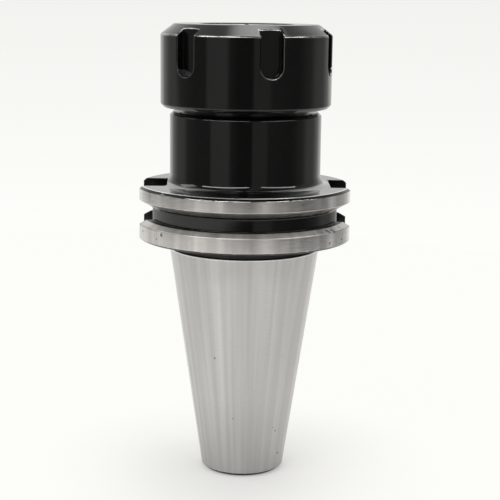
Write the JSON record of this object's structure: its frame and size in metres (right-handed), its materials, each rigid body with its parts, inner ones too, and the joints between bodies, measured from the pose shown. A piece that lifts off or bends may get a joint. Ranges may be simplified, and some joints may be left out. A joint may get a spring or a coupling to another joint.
{
  "type": "collet chuck holder",
  "caption": "Spindle tool holder with a ground steep-taper shank, a V-groove flange with drive slots, a blackened neck, a slotted clamping nut and a slit spring collet.",
  "frame": {"origin": "centre of the face of the taper's small end, on the axis", "axes": "+Z along the axis to the nose and nut, +X through the shallow drive slot, -X through the deep one"},
  "size_m": [0.0614, 0.0634, 0.1338],
  "materials": {
    "ground_steel": "ground bright on taper, flange and seat, black oxide elsewhere",
    "black_oxide_steel": "fine turned, black oxide, glossy",
    "spring_steel": "ground bright"
  },
  "bodies": {
    "holder": {"holder_body": "ground_steel"},
    "collet": {"collet": "spring_steel"},
    "nut": {"clamping_nut": "black_oxide_steel"}
  },
  "joints": [
    {"name": "nut_travel", "type": "slide", "parent": "holder", "child": "collet", "axis": [0, 0, 1], "range_m": [0, 0.0105]},
    {"name": "nut_turn", "type": "hinge", "parent": "collet", "child": "nut", "pos_m": [0, 0, 0.1218], "axis": [0, 0, 1], "range_deg": [0, 2520]}
  ],
  "couplings": [
    {"joint": "nut_travel", "follows": "nut_turn", "m_per_rad": 0.00023873}
  ]
}
